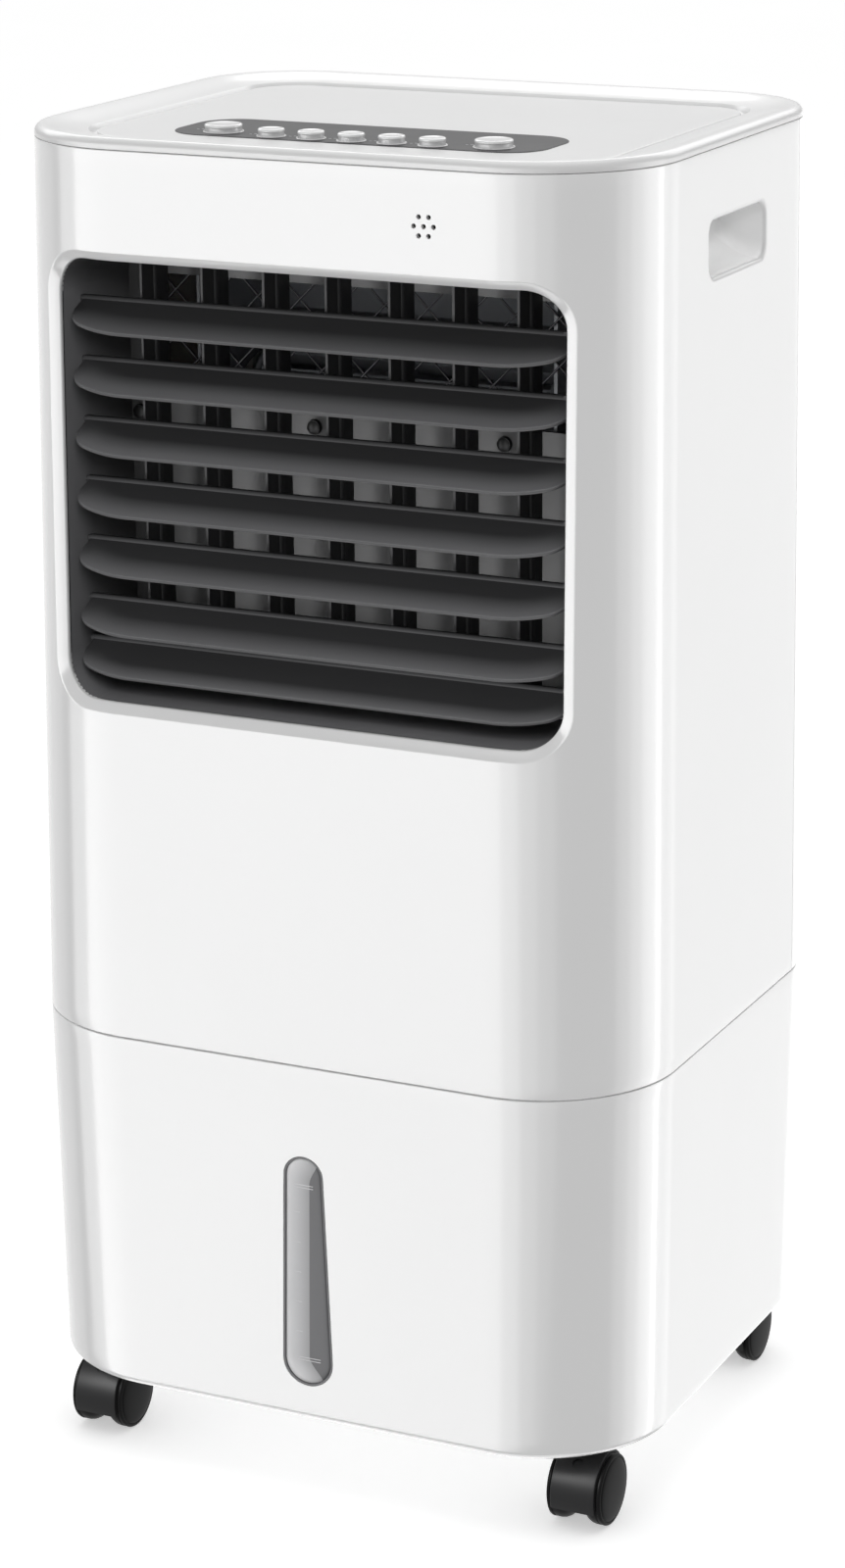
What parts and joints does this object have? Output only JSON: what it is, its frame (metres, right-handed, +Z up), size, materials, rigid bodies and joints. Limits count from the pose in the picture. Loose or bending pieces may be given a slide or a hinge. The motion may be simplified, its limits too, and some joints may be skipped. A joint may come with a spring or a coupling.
{
  "type": "evaporative cooler",
  "caption": "Upright evaporative air cooler: white casing, louvered outlet with swing vanes, top control deck, pull-out water tank and swivel casters.",
  "frame": {"origin": "on the floor under the middle of the casing's footprint", "axes": "+Z up, -Y the front with the air outlet, +X to the right seen from the front"},
  "size_m": [0.399, 0.336, 0.8025],
  "materials": {
    "white_shell": "gloss",
    "white_deck": "satin",
    "panel_grey": "satin",
    "button_silver": "satin metallic",
    "ring_white": "gloss",
    "charcoal": "satin",
    "louver_charcoal": "satin",
    "vane_charcoal": "satin",
    "steel_wire": "drawn wire",
    "motor_steel": "zinc plated",
    "fan_grey": "matte",
    "smoke_window": "translucent smoke",
    "tank_milky": "translucent",
    "pad_cellulose": "corrugated paper",
    "hose_clear": "soft",
    "board_green": "lacquered",
    "black_gloss": "gloss",
    "black_tread": "satin",
    "screw_steel": "bright",
    "filter_white": "satin"
  },
  "bodies": {
    "casing": {"front_housing": "white_shell", "rear_cover": "white_shell", "lower_housing": "white_shell", "top_cover": "white_deck", "control_panel": "panel_grey", "button_rings": "ring_white", "control_board": "board_green", "buzzer": "black_tread", "grille_frame": "charcoal", "swing_motor": "motor_steel", "outlet_plate": "vane_charcoal", "wire_guard": "steel_wire", "blower_housing": "fan_grey", "fan_motor": "motor_steel", "divider_shelf": "fan_grey", "pad_frame": "filter_white", "cooling_pad": "pad_cellulose", "water_tray": "filter_white", "pump": "black_tread", "pump_hose": "hose_clear", "level_window": "smoke_window", "rear_screws": "screw_steel", "cord_gland": "black_tread", "caster_sockets": "black_tread"},
    "button_1": {"button_1": "button_silver"},
    "button_2": {"button_2": "button_silver"},
    "button_3": {"button_3": "button_silver"},
    "button_4": {"button_4": "button_silver"},
    "button_5": {"button_5": "button_silver"},
    "button_6": {"button_6": "button_silver"},
    "button_7": {"button_7": "button_silver"},
    "louver_1": {"louver_1": "louver_charcoal"},
    "louver_2": {"louver_2": "louver_charcoal"},
    "louver_3": {"louver_3": "louver_charcoal"},
    "louver_4": {"louver_4": "louver_charcoal"},
    "louver_5": {"louver_5": "louver_charcoal"},
    "louver_6": {"louver_6": "louver_charcoal"},
    "louver_7": {"louver_7": "louver_charcoal"},
    "louver_link": {"louver_link": "louver_charcoal"},
    "vane_1": {"vane_1": "vane_charcoal"},
    "vane_2": {"vane_2": "vane_charcoal"},
    "vane_3": {"vane_3": "vane_charcoal"},
    "vane_4": {"vane_4": "vane_charcoal"},
    "vane_5": {"vane_5": "vane_charcoal"},
    "vane_6": {"vane_6": "vane_charcoal"},
    "vane_7": {"vane_7": "vane_charcoal"},
    "vane_link": {"vane_link": "vane_charcoal"},
    "swing_crank": {"swing_crank": "ring_white"},
    "blower_wheel": {"blower_wheel": "fan_grey"},
    "water_tank": {"water_tank": "tank_milky"},
    "tank_latch": {"tank_latch": "white_shell"},
    "filter_frame": {"filter_frame": "filter_white"},
    "caster_hood_front_left": {"caster_hood_front_left": "black_gloss"},
    "caster_wheels_front_left": {"caster_wheels_front_left": "black_tread"},
    "caster_hood_front_right": {"caster_hood_front_right": "black_gloss"},
    "caster_wheels_front_right": {"caster_wheels_front_right": "black_tread"},
    "caster_hood_rear_left": {"caster_hood_rear_left": "black_gloss"},
    "caster_wheels_rear_left": {"caster_wheels_rear_left": "black_tread"},
    "caster_hood_rear_right": {"caster_hood_rear_right": "black_gloss"},
    "caster_wheels_rear_right": {"caster_wheels_rear_right": "black_tread"}
  },
  "joints": [
    {"name": "button_1_press", "type": "slide", "parent": "casing", "child": "button_1", "axis": [0, 0, -1], "range_m": [0, 0.0025], "stiffness_N_per_m": 400, "springref_m": -0.001},
    {"name": "button_2_press", "type": "slide", "parent": "casing", "child": "button_2", "axis": [0, 0, -1], "range_m": [0, 0.0025], "stiffness_N_per_m": 400, "springref_m": -0.001},
    {"name": "button_3_press", "type": "slide", "parent": "casing", "child": "button_3", "axis": [0, 0, -1], "range_m": [0, 0.0025], "stiffness_N_per_m": 400, "springref_m": -0.001},
    {"name": "button_4_press", "type": "slide", "parent": "casing", "child": "button_4", "axis": [0, 0, -1], "range_m": [0, 0.0025], "stiffness_N_per_m": 400, "springref_m": -0.001},
    {"name": "button_5_press", "type": "slide", "parent": "casing", "child": "button_5", "axis": [0, 0, -1], "range_m": [0, 0.0025], "stiffness_N_per_m": 400, "springref_m": -0.001},
    {"name": "button_6_press", "type": "slide", "parent": "casing", "child": "button_6", "axis": [0, 0, -1], "range_m": [0, 0.0025], "stiffness_N_per_m": 400, "springref_m": -0.001},
    {"name": "button_7_press", "type": "slide", "parent": "casing", "child": "button_7", "axis": [0, 0, -1], "range_m": [0, 0.0025], "stiffness_N_per_m": 400, "springref_m": -0.001},
    {"name": "louver_1_tilt", "type": "hinge", "parent": "casing", "child": "louver_1", "pos_m": [0, -0.121, 0.70417], "axis": [1, 0, 0], "range_deg": [-42, 12]},
    {"name": "louver_2_tilt", "type": "hinge", "parent": "casing", "child": "louver_2", "pos_m": [0, -0.121, 0.66907], "axis": [1, 0, 0], "range_deg": [-42, 12]},
    {"name": "louver_3_tilt", "type": "hinge", "parent": "casing", "child": "louver_3", "pos_m": [0, -0.121, 0.63397], "axis": [1, 0, 0], "range_deg": [-42, 12]},
    {"name": "louver_4_tilt", "type": "hinge", "parent": "casing", "child": "louver_4", "pos_m": [0, -0.121, 0.59887], "axis": [1, 0, 0], "range_deg": [-42, 12]},
    {"name": "louver_5_tilt", "type": "hinge", "parent": "casing", "child": "louver_5", "pos_m": [0, -0.121, 0.56377], "axis": [1, 0, 0], "range_deg": [-42, 12]},
    {"name": "louver_6_tilt", "type": "hinge", "parent": "casing", "child": "louver_6", "pos_m": [0, -0.121, 0.52867], "axis": [1, 0, 0], "range_deg": [-42, 12]},
    {"name": "louver_7_tilt", "type": "hinge", "parent": "casing", "child": "louver_7", "pos_m": [0, -0.121, 0.50377], "axis": [1, 0, 0], "range_deg": [-42, 12]},
    {"name": "louver_link_pivot", "type": "hinge", "parent": "louver_4", "child": "louver_link", "pos_m": [0.1485, -0.112, 0.59887], "axis": [1, 0, 0], "range_deg": [-12, 42]},
    {"name": "vane_1_swing", "type": "hinge", "parent": "casing", "child": "vane_1", "pos_m": [-0.1215, -0.098, 0.6085], "axis": [0, 0, 1], "range_deg": [-30, 30]},
    {"name": "vane_2_swing", "type": "hinge", "parent": "casing", "child": "vane_2", "pos_m": [-0.0823, -0.098, 0.6085], "axis": [0, 0, 1], "range_deg": [-30, 30]},
    {"name": "vane_3_swing", "type": "hinge", "parent": "casing", "child": "vane_3", "pos_m": [-0.0431, -0.098, 0.6085], "axis": [0, 0, 1], "range_deg": [-30, 30]},
    {"name": "vane_4_swing", "type": "hinge", "parent": "casing", "child": "vane_4", "pos_m": [-0.0039, -0.098, 0.6085], "axis": [0, 0, 1], "range_deg": [-30, 30]},
    {"name": "vane_5_swing", "type": "hinge", "parent": "casing", "child": "vane_5", "pos_m": [0.0353, -0.098, 0.6085], "axis": [0, 0, 1], "range_deg": [-30, 30]},
    {"name": "vane_6_swing", "type": "hinge", "parent": "casing", "child": "vane_6", "pos_m": [0.0745, -0.098, 0.6085], "axis": [0, 0, 1], "range_deg": [-30, 30]},
    {"name": "vane_7_swing", "type": "hinge", "parent": "casing", "child": "vane_7", "pos_m": [0.1137, -0.098, 0.6085], "axis": [0, 0, 1], "range_deg": [-30, 30]},
    {"name": "vane_link_pivot", "type": "hinge", "parent": "vane_4", "child": "vane_link", "pos_m": [-0.0039, -0.086, 0.4851], "axis": [0, 0, 1], "range_deg": [-30, 30]},
    {"name": "swing_crank_turn", "type": "hinge", "parent": "casing", "child": "swing_crank", "pos_m": [0.1285, -0.084, 0.48], "axis": [0, 0, 1], "continuous": true},
    {"name": "blower_spin", "type": "hinge", "parent": "casing", "child": "blower_wheel", "pos_m": [0, 0.018, 0.6055], "axis": [1, 0, 0], "continuous": true},
    {"name": "tank_slide", "type": "slide", "parent": "casing", "child": "water_tank", "axis": [0, 1, 0], "range_m": [0, 0.22]},
    {"name": "tank_latch_turn", "type": "hinge", "parent": "casing", "child": "tank_latch", "pos_m": [0, 0.1656, 0.2865], "axis": [0, 1, 0], "range_deg": [0, 90]},
    {"name": "filter_pull", "type": "slide", "parent": "casing", "child": "filter_frame", "axis": [0, 1, 0], "range_m": [0, 0.15]},
    {"name": "caster_front_left_swivel", "type": "hinge", "parent": "casing", "child": "caster_hood_front_left", "pos_m": [-0.1595, -0.1083, 0.0475], "axis": [0, 0, 1], "continuous": true},
    {"name": "caster_front_left_roll", "type": "hinge", "parent": "caster_hood_front_left", "child": "caster_wheels_front_left", "pos_m": [-0.1595, -0.1183, 0.0215], "axis": [1, 0, 0], "continuous": true},
    {"name": "caster_front_right_swivel", "type": "hinge", "parent": "casing", "child": "caster_hood_front_right", "pos_m": [0.1595, -0.1083, 0.0475], "axis": [0, 0, 1], "continuous": true},
    {"name": "caster_front_right_roll", "type": "hinge", "parent": "caster_hood_front_right", "child": "caster_wheels_front_right", "pos_m": [0.1595, -0.1183, 0.0215], "axis": [1, 0, 0], "continuous": true},
    {"name": "caster_rear_left_swivel", "type": "hinge", "parent": "casing", "child": "caster_hood_rear_left", "pos_m": [-0.1565, 0.1215, 0.0475], "axis": [0, 0, 1], "continuous": true},
    {"name": "caster_rear_left_roll", "type": "hinge", "parent": "caster_hood_rear_left", "child": "caster_wheels_rear_left", "pos_m": [-0.1565, 0.1315, 0.0215], "axis": [1, 0, 0], "continuous": true},
    {"name": "caster_rear_right_swivel", "type": "hinge", "parent": "casing", "child": "caster_hood_rear_right", "pos_m": [0.1565, 0.1215, 0.0475], "axis": [0, 0, 1], "continuous": true},
    {"name": "caster_rear_right_roll", "type": "hinge", "parent": "caster_hood_rear_right", "child": "caster_wheels_rear_right", "pos_m": [0.1565, 0.1315, 0.0215], "axis": [1, 0, 0], "continuous": true}
  ],
  "couplings": [
    {"joint": "louver_1_tilt", "follows": "louver_4_tilt", "ratio": 1},
    {"joint": "louver_2_tilt", "follows": "louver_4_tilt", "ratio": 1},
    {"joint": "louver_3_tilt", "follows": "louver_4_tilt", "ratio": 1},
    {"joint": "louver_5_tilt", "follows": "louver_4_tilt", "ratio": 1},
    {"joint": "louver_6_tilt", "follows": "louver_4_tilt", "ratio": 1},
    {"joint": "louver_7_tilt", "follows": "louver_4_tilt", "ratio": 1},
    {"joint": "louver_link_pivot", "follows": "louver_4_tilt", "ratio": -1},
    {"joint": "vane_1_swing", "follows": "vane_4_swing", "ratio": 1},
    {"joint": "vane_2_swing", "follows": "vane_4_swing", "ratio": 1},
    {"joint": "vane_3_swing", "follows": "vane_4_swing", "ratio": 1},
    {"joint": "vane_5_swing", "follows": "vane_4_swing", "ratio": 1},
    {"joint": "vane_6_swing", "follows": "vane_4_swing", "ratio": 1},
    {"joint": "vane_7_swing", "follows": "vane_4_swing", "ratio": 1},
    {"joint": "vane_link_pivot", "follows": "vane_4_swing", "ratio": -1}
  ]
}
